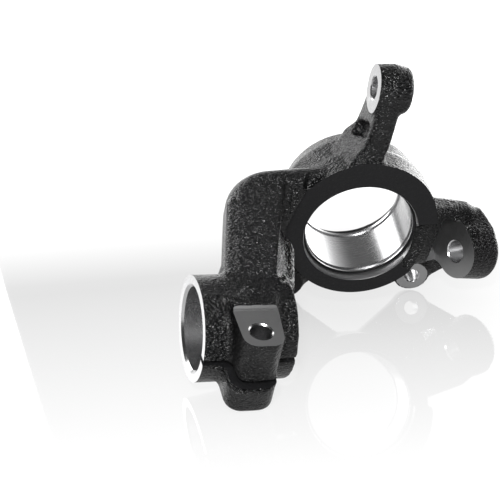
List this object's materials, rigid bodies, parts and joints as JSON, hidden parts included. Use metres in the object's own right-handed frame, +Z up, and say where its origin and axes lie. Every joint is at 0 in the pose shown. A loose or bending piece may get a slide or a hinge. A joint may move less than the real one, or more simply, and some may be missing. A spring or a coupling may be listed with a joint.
{
  "type": "steering knuckle",
  "caption": "Cast steering knuckle with a bearing hub, a split strut clamp on a gooseneck, a tie rod arm, a ball joint boss and caliper ears.",
  "frame": {"origin": "centre of the wheel bearing seat, on the wheel axis", "axes": "+Z up from the floor that the casting lies on, on its two caliper ears and the toe of the lower pinch ear; +X from the strut clamp towards the ball joint, level; +Y away from the strut clamp, outboard"},
  "size_m": [0.2335, 0.2075, 0.1798],
  "materials": {
    "cast_skin": "black coating over rough sand-cast iron, with bare machined bores, pads and faces"
  },
  "bodies": {
    "root": {"knuckle": "cast_skin"}
  },
  "joints": []
}
